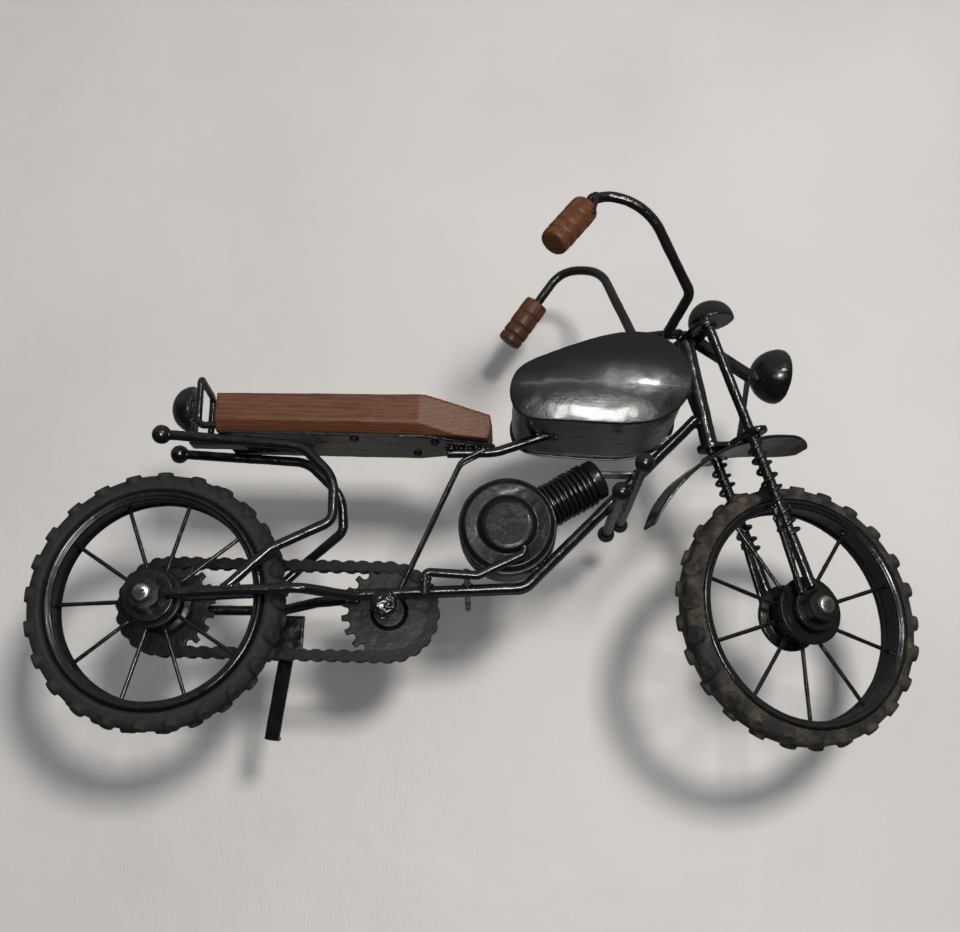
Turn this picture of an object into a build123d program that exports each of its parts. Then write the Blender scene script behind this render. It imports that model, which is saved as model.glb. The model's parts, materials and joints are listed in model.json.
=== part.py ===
from build123d import *
import os
from math import atan2, cos, degrees, hypot, pi, radians, sin

# Hand-welded display motorcycle: iron rod frame, wooden seat and grips, rubber tyres, bush chain.
# Millimetres. +X points forward, +Y to the rider's left, +Z up. The origin lies on the ground,
# under the middle of the rear tyre. Heights called "rise" are above the rear axle's centre line.

os.makedirs("parts", exist_ok=True)

# ---- driving dimensions ----
axle_height = 57.2            # rear axle above the ground
rod_d = 4.6                   # main frame rod
bore_gap = 0.05               # radial running clearance
axle_r = 4.0                  # M8 bolts used as axles
nut_corner_r = 7.5            # 13 mm across the flats
nut_thickness = 5.5

tyre_half_width = 7.5
rear_tread_r = 57.35          # 0.15 mm above the ground line, so a small flat stands on the ground
front_tread_r = 58.2
knob_r = 3.6                  # round tread buttons, leaning outwards
knob_depth = 3.4              # how deep they start below the tread
knob_length = 3.5
knob_lean = 0.42
knobs_per_side = 24
rear_rim_r = 44.4
front_rim_r = 47.2
spoke_count = 10
spoke_r = 0.95

chain_pitch = 6.35
sprocket_teeth = 20
chain_pitches_between = 16    # shaft distance in chain pitches
chain_y = 17.0                # middle plane of the chain
tooth_thickness = 2.5
roller_r = 1.65

rake = 11.0                   # steering axis, leaning back from the vertical
steer_rest = 20.0             # the fork stands turned to the left
steer_base_x = 242.6
steer_base_rise = 90.0
front_axle_x = 285.5
front_axle_rise = 2.6
leg_y = 16.2                  # fork legs, either side of the front wheel

pitch_r = chain_pitch / (2 * sin(pi / sprocket_teeth))
sprocket_x = chain_pitches_between * chain_pitch
rear_axis = Axis((0, 0, axle_height), (0, 1, 0))
front_axis = Axis((front_axle_x, 0, axle_height + front_axle_rise), (0, 1, 0))
steer_up = Vector(-sin(radians(rake)), 0, cos(radians(rake)))
steer_point = Vector(steer_base_x, 0, axle_height + steer_base_rise)
steer_axis = Axis(steer_point, steer_up)
steer_plane = Plane(origin=steer_point, x_dir=(cos(radians(rake)), 0, sin(radians(rake))), z_dir=steer_up)
frame_plane = Plane(origin=(0, 0, axle_height), x_dir=(1, 0, 0), z_dir=(0, -1, 0))   # local y is the rise


def save(piece, name):
    piece.label = name
    export_step(piece, f"parts/{name}.step")


def save_steered(piece, name):
    """Pieces of the fork are drawn straight ahead and turned to the resting angle here."""
    save(piece.rotate(steer_axis, steer_rest), name)


def at(x, y, rise):
    return Vector(x, y, axle_height + rise)


def side_plane(y):
    """Plane facing the rider's right, through y, with local x forward and local y the rise."""
    return frame_plane.offset(-y)


def section_plane(x, rise):
    """Plane across the bike, with local x to the left and local y up, for turned profiles."""
    return Plane(origin=at(x, 0, rise), x_dir=(0, 1, 0), z_dir=(1, 0, 0))


def bent_rod(points, diameter, radius):
    """Round rod bent through the points, which are (x, y, rise)."""
    with BuildPart() as rod:
        with BuildLine() as path:
            if len(points) == 2:
                Line(at(*points[0]), at(*points[1]))
            else:
                FilletPolyline(*[at(*p) for p in points], radius=radius)
        with BuildSketch(Plane(origin=path.line @ 0, z_dir=path.line % 0)):
            Circle(diameter / 2)
        sweep(path=path.line)
    return rod.part


def ball(point, radius):
    with BuildPart(Plane(origin=at(*point))) as tip:
        Sphere(radius)
    return tip.part


def turned_about_y(profile, x, rise):
    """Solid of revolution about a cross shaft; profile points are (y, radius)."""
    with BuildPart() as solid:
        with BuildSketch(section_plane(x, rise)):
            with BuildLine():
                Polyline(*profile, close=True)
            make_face()
        revolve(axis=Axis(at(x, 0, rise), (0, 1, 0)))
    return solid.part


def disc_on_shaft(x, rise, y_from, y_to, outer_r, inner_r):
    low, high = min(y_from, y_to), max(y_from, y_to)
    return turned_about_y([(low, inner_r), (low, outer_r), (high, outer_r), (high, inner_r)], x, rise)


# ---- wheels ----

def make_tyre(x, rise, tread_r, bead_r, stands_flat):
    """Tyre with two staggered rings of round buttons on its shoulders."""
    w = tyre_half_width
    profile = [
        (-w + 2, bead_r), (-w, bead_r + 2), (-w, tread_r - 3.6), (-w + 2.6, tread_r),
        (w - 2.6, tread_r), (w, tread_r - 3.6), (w, bead_r + 2), (w - 2, bead_r),
    ]
    centre = at(x, 0, rise)
    step = 360 / knobs_per_side
    seats = []
    for side in (-1, 1):
        for i in range(knobs_per_side):
            turn = radians(-90 + step * (i + (0.5 if side > 0 else 0)))
            out = Vector(cos(turn), knob_lean * side, sin(turn)).normalized()
            way = Vector(cos(turn), 0, sin(turn))
            root = centre + way * (tread_r - knob_depth) + Vector(0, side * 4.2, 0)
            seats.append(Plane(origin=root, z_dir=out))
    with BuildPart() as tyre:
        with BuildSketch(section_plane(x, rise)):
            with BuildLine():
                Polyline(*profile, close=True)
            make_face()
        revolve(axis=Axis(centre, (0, 1, 0)))
        with BuildSketch(*seats):
            Circle(knob_r)
        extrude(amount=knob_length)
        if stands_flat:
            split(bisect_by=Plane.XY, keep=Keep.TOP)
    return tyre.part


def make_rim(x, rise, inner_r, seat_r):
    """Stepped rolled rim; the tyre's bead sits in its outer groove."""
    profile = [
        (-6.8, inner_r), (-6.8, seat_r - 1.6), (-5.6, seat_r - 1.6), (-5.6, seat_r + 0.4),
        (5.6, seat_r + 0.4), (5.6, seat_r - 1.6), (6.8, seat_r - 1.6), (6.8, inner_r),
        (5.0, inner_r), (4.4, inner_r + 1.4), (-4.4, inner_r + 1.4), (-5.0, inner_r),
    ]
    return turned_about_y(profile, x, rise)


def make_spokes(x, rise, hub_r, rim_r, first_angle):
    """Straight rod spokes in the wheel's middle plane, as separate solids."""
    seats = []
    for i in range(spoke_count):
        turn = radians(first_angle + 360 / spoke_count * i)
        out = Vector(cos(turn), 0, sin(turn))
        seats.append(Plane(origin=at(x, 0, rise) + out * hub_r, z_dir=out))
    with BuildPart() as spokes:
        with BuildSketch(*seats):
            Circle(spoke_r)
        extrude(amount=rim_r - hub_r)
    return spokes.part


def make_hub(x, rise, right_end, left_end, barrel_r, flange_r):
    """Welded hub: a drum with two flanges, bored to run on the axle bolt."""
    bore = axle_r + bore_gap
    profile = [
        (-right_end, bore), (-right_end, 8.0), (-9.6, 8.0), (-9.6, flange_r), (-7.6, flange_r),
        (-6.4, barrel_r), (6.4, barrel_r), (7.6, flange_r), (9.6, flange_r), (9.6, 8.0),
        (left_end, 8.0), (left_end, bore),
    ]
    return turned_about_y(profile, x, rise)


rear_tyre_bead_r = rear_rim_r + 4.4
front_tyre_bead_r = front_rim_r + 4.0
rear_hub_left = 21.3
hub_end = 12.0

save(make_tyre(0, 0, rear_tread_r, rear_tyre_bead_r, True), "rear_tyre")
save(make_rim(0, 0, rear_rim_r, rear_tyre_bead_r), "rear_rim")
save(make_spokes(0, 0, 9.0, rear_rim_r + 1.8, 4.0), "rear_spokes")
save(make_hub(0, 0, hub_end, rear_hub_left, 10.0, 13.5), "rear_hub")

front_tyre = make_tyre(front_axle_x, front_axle_rise, front_tread_r, front_tyre_bead_r, False)
save_steered(front_tyre, "front_tyre")
save_steered(make_rim(front_axle_x, front_axle_rise, front_rim_r, front_tyre_bead_r), "front_rim")
front_spokes = make_spokes(front_axle_x, front_axle_rise, 10.0, front_rim_r + 1.8, 20.0)
save_steered(front_spokes, "front_spokes")
save_steered(make_hub(front_axle_x, front_axle_rise, hub_end, hub_end, 11.0, 15.0), "front_hub")


# ---- chain drive ----

def make_sprocket(x, bore_r):
    """Flat sprocket with round tooth gaps that open outwards; one gap points straight up."""
    gap_r = roller_r + 0.13
    with BuildPart() as sprocket:
        with BuildSketch(side_plane(chain_y + tooth_thickness / 2)):
            with Locations((x, 0)):
                Circle(pitch_r + 1.6)
                Circle(bore_r, mode=Mode.SUBTRACT)
                with PolarLocations(pitch_r, sprocket_teeth):
                    Circle(gap_r, mode=Mode.SUBTRACT)
                    Polygon(
                        (0, -gap_r), (3, -gap_r - 0.7), (3, gap_r + 0.7), (0, gap_r),
                        align=None, mode=Mode.SUBTRACT,
                    )
        extrude(amount=tooth_thickness)
    return sprocket.part


def chain_rollers():
    """Centres (x, rise) of the rollers, in order round the loop."""
    half = sprocket_teeth // 2
    step = pi / half
    points = [(i * chain_pitch, pitch_r) for i in range(chain_pitches_between)]
    points += [
        (sprocket_x + pitch_r * sin(step * i), pitch_r * cos(step * i)) for i in range(half)
    ]
    points += [(sprocket_x - i * chain_pitch, -pitch_r) for i in range(chain_pitches_between)]
    points += [(-pitch_r * sin(step * i), -pitch_r * cos(step * i)) for i in range(half)]
    return points


def link_plate(y_from, hole_r):
    """Figure-of-eight side plate, lying along X about the origin."""
    with BuildPart() as plate:
        with BuildSketch(Plane.XZ.offset(-y_from)):
            SlotCenterToCenter(chain_pitch, 5.2)
            with Locations((0, 4.4), (0, -4.4)):
                Circle(2.5, mode=Mode.SUBTRACT)
            if hole_r:
                with Locations(*pin_spots):
                    Circle(hole_r, mode=Mode.SUBTRACT)
        extrude(amount=0.8)
    return plate.part


pin_spots = [(-chain_pitch / 2, 0), (chain_pitch / 2, 0)]
pin_r = 0.8

with BuildPart() as inner_link:
    with BuildSketch(Plane.XZ.offset(-1.75)):
        with Locations(*pin_spots):
            Circle(roller_r)
            Circle(pin_r + bore_gap, mode=Mode.SUBTRACT)
    extrude(amount=3.5)
    add(link_plate(2.45, pin_r + bore_gap))
    add(link_plate(-1.65, pin_r + bore_gap))

with BuildPart() as outer_link:
    with BuildSketch(Plane.XZ.offset(-3.8)):
        with Locations(*pin_spots):
            Circle(pin_r)
    extrude(amount=7.6)
    add(link_plate(3.35, 0))
    add(link_plate(-2.55, 0))
    for head_y in (3.8, -3.3):
        with BuildSketch(Plane.XZ.offset(-head_y)):
            with Locations(*pin_spots):
                Circle(1.25)
        extrude(amount=0.5)

rollers = chain_rollers()
link_places = []
for i, start in enumerate(rollers):
    end = rollers[(i + 1) % len(rollers)]
    middle = at((start[0] + end[0]) / 2, chain_y, (start[1] + end[1]) / 2)
    slope = degrees(atan2(end[1] - start[1], end[0] - start[0]))
    link_places.append(Location(middle, (0, -slope, 0)))

with BuildPart() as drive_chain:
    with Locations(*link_places[0::2]):
        add(inner_link.part)
    with Locations(*link_places[1::2]):
        add(outer_link.part)
save(drive_chain.part, "drive_chain")

save(make_sprocket(0, 7.95), "rear_sprocket")
save(make_sprocket(sprocket_x, 2.45), "front_sprocket")

shaft_r = 2.5
bush_right, bush_left = -4.5, 13.0
shaft_profile = [
    (-10.0, 0), (-10.0, shaft_r), (bush_left + 0.2, shaft_r), (bush_left + 0.2, 7.0),
    (15.75, 9.0), (15.75, shaft_r), (20.0, shaft_r), (20.0, 0),
]
save(turned_about_y(shaft_profile, sprocket_x, 0), "sprocket_shaft")
sprocket_bush = disc_on_shaft(sprocket_x, 0, bush_right, bush_left, 4.3, shaft_r + bore_gap)
save(sprocket_bush, "sprocket_bush")

cap_face = bush_right - 0.2
cap_profile = [
    (cap_face, shaft_r - 0.05), (cap_face, 6.6), (cap_face - 4.6, 6.6), (cap_face - 6.4, 5.2),
    (cap_face - 7.2, 2.8), (cap_face - 7.2, 0), (-10.1, 0), (-10.1, shaft_r - 0.05),
]
save(turned_about_y(cap_profile, sprocket_x, 0), "shaft_cap")


# ---- axle bolts and nuts ----

def make_nuts(x, rise, right_face, left_face):
    """Two hexagon nuts, outboard of the given faces."""
    with BuildPart() as nuts:
        for start in (-right_face, left_face + nut_thickness):
            with BuildSketch(side_plane(start)):
                with Locations((x, rise)):
                    RegularPolygon(nut_corner_r, 6)
                    Circle(axle_r - 0.05, mode=Mode.SUBTRACT)
            extrude(amount=nut_thickness)
    return nuts.part


def make_axle(x, rise, right_end, left_end):
    """Bolt running through the hub, with lightly chamfered ends."""
    c = 0.7
    profile = [
        (-right_end, 0), (-right_end, axle_r - c), (-right_end + c, axle_r),
        (left_end - c, axle_r), (left_end, axle_r - c), (left_end, 0),
    ]
    return turned_about_y(profile, x, rise)


eye_in, eye_out = 12.2, 14.2            # end plates on the right, and on both sides in front
left_eye_in, left_eye_out = 21.5, 23.5  # outboard of the chain
save(make_axle(0, 0, 23.3, 31.0), "rear_axle")
save(make_nuts(0, 0, eye_out, left_eye_out), "rear_nuts")
save_steered(make_axle(front_axle_x, front_axle_rise, 22.0, 22.0), "front_axle")
save_steered(make_nuts(front_axle_x, front_axle_rise, eye_out, eye_out), "front_nuts")


# ---- frame ----

rail_y = 2.35                 # the two rails lie side by side
rail_start = (84, 4.3)
rail_corner = (162.5, 9.3)
rail_end = (238.8, 88.7)
with BuildPart() as frame_rails:
    for y in (-rail_y, rail_y):
        rail_points = [(x, y, rise) for x, rise in (rail_start, rail_corner, rail_end)]
        add(bent_rod(rail_points, rod_d, 9.0))
save(frame_rails.part, "frame_rails")

eye_r = 11.35
with BuildPart() as chain_stay_right:
    add(bent_rod([(8.0, -leg_y, 0.8), (66, -leg_y, 4.6), (89, -3.6, 3.4)], rod_d, 12.0))
    add(disc_on_shaft(0, 0, -eye_in, -eye_out, eye_r, axle_r - 0.05))
save(chain_stay_right.part, "chain_stay_right")

left_stay_y = 25.5            # the left stay holds the axle outboard of the chain
with BuildPart() as chain_stay_left:
    stay_points = [(8.0, left_stay_y, 0.0), (50, left_stay_y, 0.6), (70, 9.0, 2.4), (89, 3.6, 3.4)]
    add(bent_rod(stay_points, rod_d, 8.0))
    add(disc_on_shaft(0, 0, left_eye_in, left_eye_out, eye_r, axle_r - 0.05))
save(chain_stay_left.part, "chain_stay_left")

stay_d = 4.5
stay_bends = [16.0, 16.0, 6.0, 6.0]
ball_r = 4.3
with BuildPart() as seat_stay_right:
    add(ball((-1, -15, 72.3), ball_r))
    add(bent_rod(
        [(0, -15, 72.3), (62, -15, 68.5), (77.5, -15, 54), (78, -15, 34.5),
         (52, -15.6, 21.5), (34, -leg_y, 3.8)],
        stay_d, stay_bends,
    ))
save(seat_stay_right.part, "seat_stay_right")

with BuildPart() as seat_stay_left:
    add(ball((-1, 15, 71.95), ball_r))
    add(bent_rod(
        [(0, 15, 71.95), (60, 15, 69.15), (77, 15.5, 53), (78, 19.5, 37.5),
         (58, left_stay_y, 21), (40, left_stay_y, 2.4)],
        stay_d, stay_bends,
    ))
save(seat_stay_left.part, "seat_stay_left")

tube_foot, tube_top = -13.0, 38.0       # along the steering axis
stem_r = 2.0
with BuildPart() as head_tube:
    with BuildSketch(steer_plane.offset(tube_foot)):
        Circle(3.75)
        Circle(stem_r + bore_gap, mode=Mode.SUBTRACT)
    extrude(amount=tube_top - tube_foot)
save(head_tube.part, "head_tube")

save(bent_rod([(126, 0, 70.8), (148, 0, 71.6), (237.2, 0, 103.7)], rod_d, 20.0), "backbone")

with BuildPart() as seat_struts:
    for y in (-2.6, 2.6):
        add(bent_rod([(107.6, y * 0.9, 7.0), (132.4, y, 66.2), (143.5, y, 72.4)], 1.9, 6.0))
save(seat_struts.part, "seat_struts")

with BuildPart() as foot_pegs:
    for x, rise, reach in ((209.4, 52.0, 55.0), (201.5, 43.8, 40.0)):
        add(bent_rod([(x, -reach, rise), (x, reach, rise)], stay_d, 0))
        for side in (-1, 1):
            add(ball((x, side * reach, rise), 4.1))
            add(disc_on_shaft(x, rise, side * (reach - 4.6), side * (reach - 3.0), 3.1, 0))
save(foot_pegs.part, "foot_pegs")

lever_points = [
    (119.8, -17.2, 3.2), (119.6, -17.2, 12.5), (142, -17.2, 11.4), (162, -17.2, 21.5),
    (161.8, -17.2, 25.0),
]
save(bent_rod(lever_points, 3.9, 2.2), "foot_lever")

with BuildPart() as cross_pins:
    add(bent_rod([(119.8, -18.4, 9.4), (119.8, 5.0, 9.4)], 3.4, 0))
    add(bent_rod([(137.5, -18.0, 12.4), (136.8, 30.0, 4.2)], 2.7, 0))
save(cross_pins.part, "cross_pins")


# ---- seat, tail ----

seat_base = 74.5
seat_edge = 4.5               # bevel along the lower edges
seat_half_width = 19.0
with BuildPart() as seat_board:
    with BuildSketch(frame_plane):
        with BuildLine():
            Polyline(
                (23, seat_base), (23, 91.4), (116.6, 92.4), (145.4, 85.9), (146.6, 80.4),
                (144.6, seat_base), close=True,
            )
        make_face()
    extrude(amount=seat_half_width + 1, both=True)
    with BuildSketch(Plane.XY):
        with BuildLine():
            Polyline(
                (20, -seat_half_width), (114, -seat_half_width), (150, -10.5), (150, 10.5),
                (114, seat_half_width), (20, seat_half_width), close=True,
            )
        make_face()
    extrude(amount=200, mode=Mode.INTERSECT)
    with BuildSketch(section_plane(20, 0)):
        with BuildLine():
            Polyline(
                (-seat_half_width, 100), (-seat_half_width, seat_base + seat_edge),
                (-seat_half_width + seat_edge, seat_base), (seat_half_width - seat_edge, seat_base),
                (seat_half_width, seat_base + seat_edge), (seat_half_width, 100), close=True,
            )
        make_face()
    extrude(amount=140, mode=Mode.INTERSECT)
save(seat_board.part, "seat_board")

with BuildPart() as seat_plate:
    with BuildSketch(Plane.XY.offset(axle_height + seat_base - 1.5)):
        with BuildLine():
            Polyline(
                (25, -17), (113, -17), (147, -5.5), (147, 5.5), (113, 17), (25, 17), close=True,
            )
        make_face()
    extrude(amount=1.5)
save(seat_plate.part, "seat_plate")

with BuildPart() as seat_screws:
    for x, y in ((36, -8.5), (85, -12), (112, 8), (121, -9)):
        with BuildSketch(Plane.XY.offset(axle_height + seat_base - 1.5)):
            with Locations((x, y)):
                Circle(2.3)
        extrude(amount=-1.3, taper=30)
save(seat_screws.part, "seat_screws")

loop_points = [
    (24.0, -14, 77.4), (14.6, -14, 77.4), (14.0, -14, 99.6), (12.6, 14, 99.6), (13.2, 14, 77.4),
    (24.0, 14, 77.4),
]
save(bent_rod(loop_points, 3.2, 3.0), "grab_loop")

lamp_rise = 89.2
with BuildPart() as tail_lamp:
    with BuildSketch(frame_plane):
        with BuildLine():
            ThreePointArc((-1.4, lamp_rise), (0.9, lamp_rise + 7.2), (6.8, lamp_rise + 10.7))
            Polyline(
                (6.8, lamp_rise + 10.7), (8.4, lamp_rise + 10.7), (8.4, lamp_rise), (-1.4, lamp_rise),
            )
        make_face()
    revolve(axis=Axis(at(0, 0, lamp_rise), (1, 0, 0)))
save(tail_lamp.part, "tail_lamp")

with BuildPart() as lamp_bracket:
    with BuildSketch(frame_plane):
        with BuildLine():
            Polyline(
                (8.3, lamp_rise + 3), (8.3, seat_base - 3.0), (34, seat_base - 3.0),
                (34, seat_base - 1.45), (9.9, seat_base - 1.45), (9.9, lamp_rise + 3), close=True,
            )
        make_face()
    extrude(amount=4.0, both=True)
save(lamp_bracket.part, "lamp_bracket")


# ---- tank ----

tank_outline = [
    (154.2, 93.0), (157.4, 101.0), (171.5, 108.8), (193.5, 117.2), (210.5, 120.4), (225.5, 115.4),
    (233.4, 101.5), (231.7, 90.3), (222.0, 80.9), (199.0, 77.0), (171.8, 78.2), (158.8, 81.2),
]
tank_sheet = 1.6
tank_mid_x, tank_mid_rise = 194.0, 99.0
tank_half_width = 32.5        # at the middle of the domed side plates
tank_bend_r = 229.0           # bend of the plates along the bike
tank_dome_r = 66.0            # bend of the plates from top to bottom
wall_corners = 16             # points that carry the bent wall's outline


def tank_barrel(inset):
    """Large turned solid whose right side is the tank's domed face, moved inwards by the inset."""
    radius = tank_dome_r - inset
    centre_y = tank_dome_r - tank_half_width
    half_height = 30.0
    edge_y = centre_y - (radius ** 2 - half_height ** 2) ** 0.5
    axis_y = tank_bend_r - tank_half_width
    low, high = tank_mid_rise - half_height, tank_mid_rise + half_height
    with BuildPart() as barrel:
        with BuildSketch(section_plane(tank_mid_x, 0)):
            with BuildLine():
                ThreePointArc((edge_y, low), (centre_y - radius, tank_mid_rise), (edge_y, high))
                Polyline((edge_y, high), (axis_y, high), (axis_y, low), (edge_y, low))
            make_face()
        revolve(axis=Axis((tank_mid_x, axis_y, 0), (0, 0, 1)))
    return barrel.part


def wall_outline(inset):
    """Points on the tank outline, moved inwards by the inset."""
    outline = Spline(*tank_outline, periodic=True, mode=Mode.PRIVATE)
    spots = [(outline @ (i / wall_corners), outline % (i / wall_corners)) for i in range(wall_corners)]
    return [(spot.X + way.Y * inset, spot.Y - way.X * inset) for spot, way in spots]


outer_barrel = tank_barrel(0)
inner_barrel = tank_barrel(tank_sheet)
wall_barrel = tank_barrel(tank_sheet - 0.3)
with BuildPart() as tank_plates:
    with BuildSketch(frame_plane):
        with BuildLine():
            Spline(*tank_outline, periodic=True)
        make_face()
    extrude(amount=40)
    add(outer_barrel, mode=Mode.INTERSECT)
    add(inner_barrel, mode=Mode.SUBTRACT)
    mirror(about=Plane.XZ)
save(tank_plates.part, "tank_plates")

with BuildPart() as tank_wall:
    for inset, mode in ((1.2, Mode.ADD), (2.6, Mode.SUBTRACT)):
        with BuildSketch(frame_plane):
            with BuildLine():
                Spline(*wall_outline(inset), periodic=True)
            make_face()
        extrude(amount=40, both=True, mode=mode)
    add(wall_barrel, mode=Mode.INTERSECT)
    add(wall_barrel.mirror(Plane.XZ), mode=Mode.INTERSECT)
save(tank_wall.part, "tank_wall")


# ---- engine ----

crank_x, crank_rise = 154.4, 35.2
drum_half = 9.9
drum_r = 21.7
save(disc_on_shaft(crank_x, crank_rise, -drum_half, drum_half, drum_r, 0), "crankcase")

cover_profile = [
    (0, 0), (0, 20.6), (1.4, 20.6), (3.0, 18.8), (2.2, 13.0), (4.2, 11.2), (4.6, 9.5), (4.6, 0),
]
with BuildPart() as crankcase_covers:
    for side in (-1, 1):
        cover = [(side * (drum_half + h), r) for h, r in cover_profile]
        add(turned_about_y(cover, crank_x, crank_rise))
save(crankcase_covers.part, "crankcase_covers")

cylinder_lean = radians(31)
cylinder_way = Vector(cos(cylinder_lean), 0, sin(cylinder_lean))
cylinder_root = at(160.1, 0, 39.5)
fin_count = 10
fin_pitch = 2.35
fin_wire_r = 1.05
fin_ring_r = 9.0
first_fin = 12.5
cylinder_plane = Plane(origin=cylinder_root, x_dir=cylinder_way, z_dir=(0, 1, 0))
cylinder_axis = Axis(cylinder_root, cylinder_way)
head_start = first_fin + fin_count * fin_pitch
with BuildPart() as cylinder:
    with BuildSketch(cylinder_plane):
        with BuildLine():
            Polyline(
                (0, 0), (0, 8.0), (head_start, 8.0), (head_start, 9.3), (head_start + 4.2, 9.3),
                (head_start + 5.4, 8.0), (head_start + 5.4, 0), close=True,
            )
        make_face()
    revolve(axis=cylinder_axis)
save(cylinder.part, "cylinder")

with BuildPart() as cylinder_fins:
    with BuildSketch(cylinder_plane):
        with Locations(*[(first_fin + fin_pitch * (i + 0.2), fin_ring_r) for i in range(fin_count)]):
            Circle(fin_wire_r)
    revolve(axis=cylinder_axis)
save(cylinder_fins.part, "cylinder_fins")

strap_rise = 61.2
with BuildPart() as cylinder_strap:
    with BuildSketch(Plane.XY.offset(axle_height + strap_rise)):
        with Locations((202, 0)):
            Rectangle(22, 8)
    extrude(amount=1.5)
save(cylinder_strap.part, "cylinder_strap")


# ---- side stand ----

pivot_x, pivot_rise = 55.0, -15.5
bracket_y = 24.5
rivet_r = 1.6
with BuildPart() as stand_bracket:
    with BuildSketch(side_plane(bracket_y + 2.0)):
        with Locations((pivot_x, -11.3)):
            Rectangle(13.5, 19.5)
        with Locations((pivot_x, pivot_rise)):
            Circle(rivet_r - 0.02, mode=Mode.SUBTRACT)
    extrude(amount=2.0)
save(stand_bracket.part, "stand_bracket")

rivet_profile = [
    (bracket_y - 0.7, 0), (bracket_y - 0.7, 2.4), (bracket_y, 2.8), (bracket_y, rivet_r),
    (bracket_y + 4.5, rivet_r), (bracket_y + 4.5, 2.9), (bracket_y + 5.5, 2.2), (bracket_y + 5.9, 0),
]
save(turned_about_y(rivet_profile, pivot_x, pivot_rise), "stand_rivet")

leg_inner_y = bracket_y + 2.2
foot_y = 41.0
toe_rise = -axle_height - 0.6
leg_lean = 10.0               # the foot stands rearward of the pivot
with BuildPart() as stand_leg:
    with BuildSketch(section_plane(pivot_x, 0)):
        with BuildLine():
            Polyline(
                (leg_inner_y, pivot_rise + 4.5), (leg_inner_y, pivot_rise - 6),
                (foot_y - 2.2, toe_rise), (foot_y + 3.5, toe_rise),
                (foot_y + 3.5, toe_rise + 2.4), (foot_y, toe_rise + 2.4),
                (leg_inner_y + 2.1, pivot_rise - 5.4), (leg_inner_y + 2.1, pivot_rise + 4.5), close=True,
            )
        make_face()
    extrude(amount=3.3, both=True)
    with BuildSketch(side_plane(leg_inner_y + 3)):
        with Locations((pivot_x, pivot_rise)):
            Circle(rivet_r + bore_gap)
    extrude(amount=4, mode=Mode.SUBTRACT)
leaning_leg = stand_leg.part.rotate(Axis(at(pivot_x, 0, pivot_rise), (0, 1, 0)), leg_lean)
save(split(leaning_leg, bisect_by=Plane.XY, keep=Keep.TOP), "stand_leg")


# ---- steering assembly, drawn straight ahead ----

with BuildPart() as steering_stem:
    with BuildSketch(steer_plane.offset(-17.5)):
        Circle(stem_r)
    extrude(amount=60.5)
save_steered(steering_stem.part, "steering_stem")

lower_yoke_foot, yoke_thickness = -15.7, 2.5
upper_yoke_foot, upper_yoke_thickness = 38.3, 2.0
with BuildPart() as lower_yoke:
    with BuildSketch(steer_plane.offset(lower_yoke_foot)):
        with Locations(Location((12.1, 0), 90)):
            SlotOverall(51, 9)
        with Locations((6, 0)):
            Rectangle(12, 10)
        Circle(6)
    extrude(amount=yoke_thickness)
save_steered(lower_yoke.part, "lower_yoke")

with BuildPart() as upper_yoke:
    with BuildSketch(steer_plane.offset(upper_yoke_foot)):
        with Locations(Location((3, 0), 90)):
            SlotOverall(40, 12)
    extrude(amount=upper_yoke_thickness)
save_steered(upper_yoke.part, "upper_yoke")

leg_top_x, leg_top_rise = 236.9, 132.5
leg_run = front_axle_x - leg_top_x
leg_drop = leg_top_rise - front_axle_rise
leg_length = hypot(leg_run, leg_drop)
leg_way = Vector(leg_run / leg_length, 0, -leg_drop / leg_length)
leg_end_gap = 9.0             # the leg stops short of the axle nut


def leg_point(along, y):
    return (leg_top_x + leg_way.X * along, y, leg_top_rise + leg_way.Z * along)


with BuildPart() as fork_legs:
    for side in (-1, 1):
        y = side * leg_y
        add(bent_rod([leg_point(0, y), leg_point(leg_length - leg_end_gap, y)], rod_d, 0))
        add(disc_on_shaft(front_axle_x, front_axle_rise, side * eye_in, side * eye_out, 10.0, axle_r - 0.05))
save_steered(fork_legs.part, "fork_legs")

with BuildPart() as fork_rods:
    for side in (-1, 1):
        add(bent_rod([(266.6, side * 14.6, 47.0), (277.5, side * 15.3, 8.0)], 2.8, 0))
save_steered(fork_rods.part, "fork_rods")

spring_wire_r = 0.9
spring_r = 3.3
spring_pitch = 5.2
spring_from, spring_length = 61.0, 45.0
with BuildPart() as fork_springs:
    for side in (-1, 1):
        start = at(*leg_point(spring_from, side * leg_y))
        with BuildLine() as coil:
            Helix(spring_pitch, spring_length, spring_r, center=start, direction=leg_way)
        with BuildSketch(Plane(origin=coil.line @ 0, z_dir=coil.line % 0)):
            Circle(spring_wire_r)
        sweep(path=coil.line, is_frenet=True)
save_steered(fork_springs.part, "fork_springs")

gauge_r = 10.8
gauge_foot = 46.0
with BuildPart() as gauge:
    with BuildSketch(steer_plane.offset(gauge_foot)):
        with Locations((14.3, -3)):
            Circle(gauge_r)
    extrude(amount=gauge_r - 0.4)
    fillet(gauge.faces().sort_by(steer_axis)[-1].edges(), radius=gauge_r - 0.9)
    with BuildSketch(steer_plane.offset(upper_yoke_foot + upper_yoke_thickness - 0.1)):
        with Locations((6.6, -3)):
            Circle(1.9)
    extrude(amount=gauge_foot - upper_yoke_foot - upper_yoke_thickness + 0.4)
save_steered(gauge.part, "gauge")

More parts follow.
